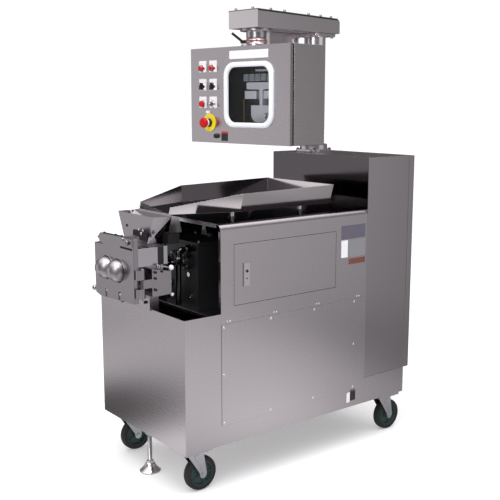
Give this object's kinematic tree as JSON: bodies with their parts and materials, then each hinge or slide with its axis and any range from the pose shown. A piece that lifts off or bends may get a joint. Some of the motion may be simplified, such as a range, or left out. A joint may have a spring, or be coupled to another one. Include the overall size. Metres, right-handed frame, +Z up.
{
  "type": "twin dome extrusion granulator",
  "caption": "Mobile twin-screw extrusion granulator with dome dies on a hinged front plate, feed tray and hopper, castors, and a control box on a swing arm.",
  "frame": {"origin": "middle of the assembly's footprint on the floor", "axes": "+Z up, -X towards the die head, -Y towards the operator's side"},
  "size_m": [1.273, 0.7025, 1.698],
  "materials": {
    "satin_steel": "satin stainless sheet",
    "polished_steel": "polished stainless",
    "machined_steel": "machined stainless",
    "cast_grey": "painted casting",
    "motor_paint": "satin enamel",
    "panel_grey": "matt panel",
    "black_plastic": "matt moulded",
    "red_plastic": "gloss moulded",
    "yellow_plastic": "gloss moulded",
    "white_rubber": "white silicone seal",
    "white_plastic": "blank legend plates and knobs",
    "window_glass": "clear",
    "wheel_rubber": "black rubber tread"
  },
  "bodies": {
    "machine": {"base_cabinet": "satin_steel", "side_panel_near": "satin_steel", "side_panel_far": "satin_steel", "drive_cover": "satin_steel", "rear_cabinet": "satin_steel", "inverter": "panel_grey", "head_bracket": "machined_steel", "barrel_housing": "machined_steel", "hinge_block": "machined_steel", "hinge_pin": "machined_steel", "gearbox_case": "cast_grey", "gearbox_lid": "cast_grey", "drive_motor": "motor_paint", "drive_bed": "machined_steel", "coolant_pipe": "polished_steel", "hopper": "polished_steel", "feed_tray": "polished_steel", "post_socket": "machined_steel"},
    "levelling_foot": {"levelling_foot": "machined_steel"},
    "cover_door": {"cover_door": "satin_steel"},
    "cover_latch": {"cover_latch": "machined_steel"},
    "rear_door": {"rear_door": "satin_steel"},
    "rear_handle": {"rear_door_handle": "machined_steel"},
    "screw_near": {"screw_near": "machined_steel", "timing_gear_near": "machined_steel"},
    "screw_far": {"screw_far": "machined_steel", "timing_gear_far": "machined_steel"},
    "drive_shaft": {"drive_pinion": "machined_steel"},
    "die_door": {"die_plate": "satin_steel", "dome_die_near": "polished_steel", "dome_die_far": "polished_steel"},
    "clamp_lever": {"clamp_lever": "machined_steel"},
    "arm": {"arm_post": "polished_steel", "arm_beam": "satin_steel", "arm_lid": "satin_steel", "neck_flange": "machined_steel"},
    "control_box": {"neck_collar": "polished_steel", "box_shell": "satin_steel", "instrument_panel": "panel_grey"},
    "neck_lever": {"neck_clamp_lever": "black_plastic"},
    "box_door": {"box_door": "satin_steel", "window_seal": "white_rubber", "window_pane": "window_glass", "lamp_near": "red_plastic", "lamp_far": "red_plastic", "estop_plate": "yellow_plastic"},
    "selector_near": {"selector_near": "black_plastic"},
    "selector_far": {"selector_far": "black_plastic"},
    "push_button": {"push_button": "red_plastic"},
    "key_switch": {"key_switch": "machined_steel"},
    "estop_button": {"estop_button": "red_plastic"},
    "door_lock": {"door_lock": "black_plastic"},
    "castor_fork_front_near": {"castor_fork_front_near": "machined_steel"},
    "castor_wheel_front_near": {"castor_wheel_front_near": "wheel_rubber"},
    "castor_fork_front_far": {"castor_fork_front_far": "machined_steel"},
    "castor_wheel_front_far": {"castor_wheel_front_far": "wheel_rubber"},
    "castor_fork_rear_near": {"castor_fork_rear_near": "machined_steel"},
    "castor_wheel_rear_near": {"castor_wheel_rear_near": "wheel_rubber"},
    "castor_fork_rear_far": {"castor_fork_rear_far": "machined_steel"},
    "castor_wheel_rear_far": {"castor_wheel_rear_far": "wheel_rubber"}
  },
  "joints": [
    {"name": "castor_swivel_front_near", "type": "hinge", "parent": "machine", "child": "castor_fork_front_near", "pos_m": [-0.43, -0.289, 0.15], "axis": [0, 0, 1], "continuous": true},
    {"name": "castor_roll_front_near", "type": "hinge", "parent": "castor_fork_front_near", "child": "castor_wheel_front_near", "pos_m": [-0.395, -0.289, 0.0625], "axis": [0, 1, 0], "continuous": true},
    {"name": "castor_swivel_front_far", "type": "hinge", "parent": "machine", "child": "castor_fork_front_far", "pos_m": [-0.425, 0.162, 0.15], "axis": [0, 0, 1], "continuous": true},
    {"name": "castor_roll_front_far", "type": "hinge", "parent": "castor_fork_front_far", "child": "castor_wheel_front_far", "pos_m": [-0.39, 0.162, 0.0625], "axis": [0, 1, 0], "continuous": true},
    {"name": "castor_swivel_rear_near", "type": "hinge", "parent": "machine", "child": "castor_fork_rear_near", "pos_m": [0.512, -0.296, 0.15], "axis": [0, 0, 1], "continuous": true},
    {"name": "castor_roll_rear_near", "type": "hinge", "parent": "castor_fork_rear_near", "child": "castor_wheel_rear_near", "pos_m": [0.547, -0.296, 0.0625], "axis": [0, 1, 0], "continuous": true},
    {"name": "castor_swivel_rear_far", "type": "hinge", "parent": "machine", "child": "castor_fork_rear_far", "pos_m": [0.512, 0.174, 0.15], "axis": [0, 0, 1], "continuous": true},
    {"name": "castor_roll_rear_far", "type": "hinge", "parent": "castor_fork_rear_far", "child": "castor_wheel_rear_far", "pos_m": [0.547, 0.174, 0.0625], "axis": [0, 1, 0], "continuous": true},
    {"name": "levelling_screw", "type": "slide", "parent": "machine", "child": "levelling_foot", "axis": [0, 0, 1], "range_m": [0, 0.035]},
    {"name": "cover_door_hinge", "type": "hinge", "parent": "machine", "child": "cover_door", "pos_m": [0.192, -0.345, 0.766], "axis": [0, 0, 1], "range_deg": [0, 110]},
    {"name": "cover_latch_turn", "type": "hinge", "parent": "cover_door", "child": "cover_latch", "pos_m": [-0.2305, -0.345, 0.775], "axis": [0, 1, 0], "range_deg": [0, 90]},
    {"name": "rear_door_hinge", "type": "hinge", "parent": "machine", "child": "rear_door", "pos_m": [0.5985, 0.22, 0.7], "axis": [0, 0, 1], "range_deg": [0, 120]},
    {"name": "rear_handle_turn", "type": "hinge", "parent": "rear_door", "child": "rear_handle", "pos_m": [0.5985, -0.315, 0.7], "axis": [1, 0, 0], "range_deg": [0, 90]},
    {"name": "screw_near_spin", "type": "hinge", "parent": "machine", "child": "screw_near", "pos_m": [-0.25, -0.101, 0.782], "axis": [1, 0, 0], "continuous": true},
    {"name": "screw_far_spin", "type": "hinge", "parent": "machine", "child": "screw_far", "pos_m": [-0.25, -0.021, 0.782], "axis": [1, 0, 0], "continuous": true},
    {"name": "drive_shaft_spin", "type": "hinge", "parent": "machine", "child": "drive_shaft", "pos_m": [-0.185, -0.101, 0.718], "axis": [1, 0, 0], "continuous": true},
    {"name": "die_door_hinge", "type": "hinge", "parent": "machine", "child": "die_door", "pos_m": [-0.5675, -0.216, 0.75], "axis": [0, 0, 1], "range_deg": [0, 110]},
    {"name": "clamp_lever_turn", "type": "hinge", "parent": "machine", "child": "clamp_lever", "pos_m": [-0.506, -0.216, 0.8], "axis": [0, 0, 1], "range_deg": [-75, 0]},
    {"name": "arm_swing", "type": "hinge", "parent": "machine", "child": "arm", "pos_m": [0.478, 0.097, 1.3], "axis": [0, 0, 1], "range_deg": [-90, 90]},
    {"name": "box_swivel", "type": "hinge", "parent": "arm", "child": "control_box", "pos_m": [0.13061, 0.05435, 1.6], "axis": [0, 0, 1], "range_deg": [-90, 90]},
    {"name": "neck_lever_turn", "type": "hinge", "parent": "control_box", "child": "neck_lever", "pos_m": [0.11139, 0.11244, 1.583], "axis": [-0.1219, 0.9925, 0], "range_deg": [-30, 40]},
    {"name": "box_door_hinge", "type": "hinge", "parent": "control_box", "child": "box_door", "pos_m": [0.0868, -0.21248, 1.374], "axis": [0, 0, 1], "range_deg": [0, 110]},
    {"name": "selector_far_turn", "type": "hinge", "parent": "box_door", "child": "selector_far", "pos_m": [0.01508, 0.25677, 1.411], "axis": [0.9925, 0.1219, 0], "range_deg": [-45, 45]},
    {"name": "selector_near_turn", "type": "hinge", "parent": "box_door", "child": "selector_near", "pos_m": [0.02251, 0.19623, 1.411], "axis": [0.9925, 0.1219, 0], "range_deg": [-45, 45]},
    {"name": "key_switch_turn", "type": "hinge", "parent": "box_door", "child": "key_switch", "pos_m": [0.02251, 0.19623, 1.341], "axis": [0.9925, 0.1219, 0], "range_deg": [0, 90]},
    {"name": "push_button_press", "type": "slide", "parent": "box_door", "child": "push_button", "axis": [0.9925, 0.1219, 0], "range_m": [0, 0.004], "stiffness_N_per_m": 600},
    {"name": "estop_press", "type": "slide", "parent": "box_door", "child": "estop_button", "axis": [0.9925, 0.1219, 0], "range_m": [0, 0.005], "stiffness_N_per_m": 1500},
    {"name": "door_lock_turn", "type": "hinge", "parent": "box_door", "child": "door_lock", "pos_m": [0.02495, 0.17638, 1.215], "axis": [0.9925, 0.1219, 0], "range_deg": [0, 90]}
  ],
  "couplings": [
    {"joint": "screw_far_spin", "follows": "screw_near_spin", "ratio": -1},
    {"joint": "drive_shaft_spin", "follows": "screw_near_spin", "ratio": -1.6667}
  ]
}
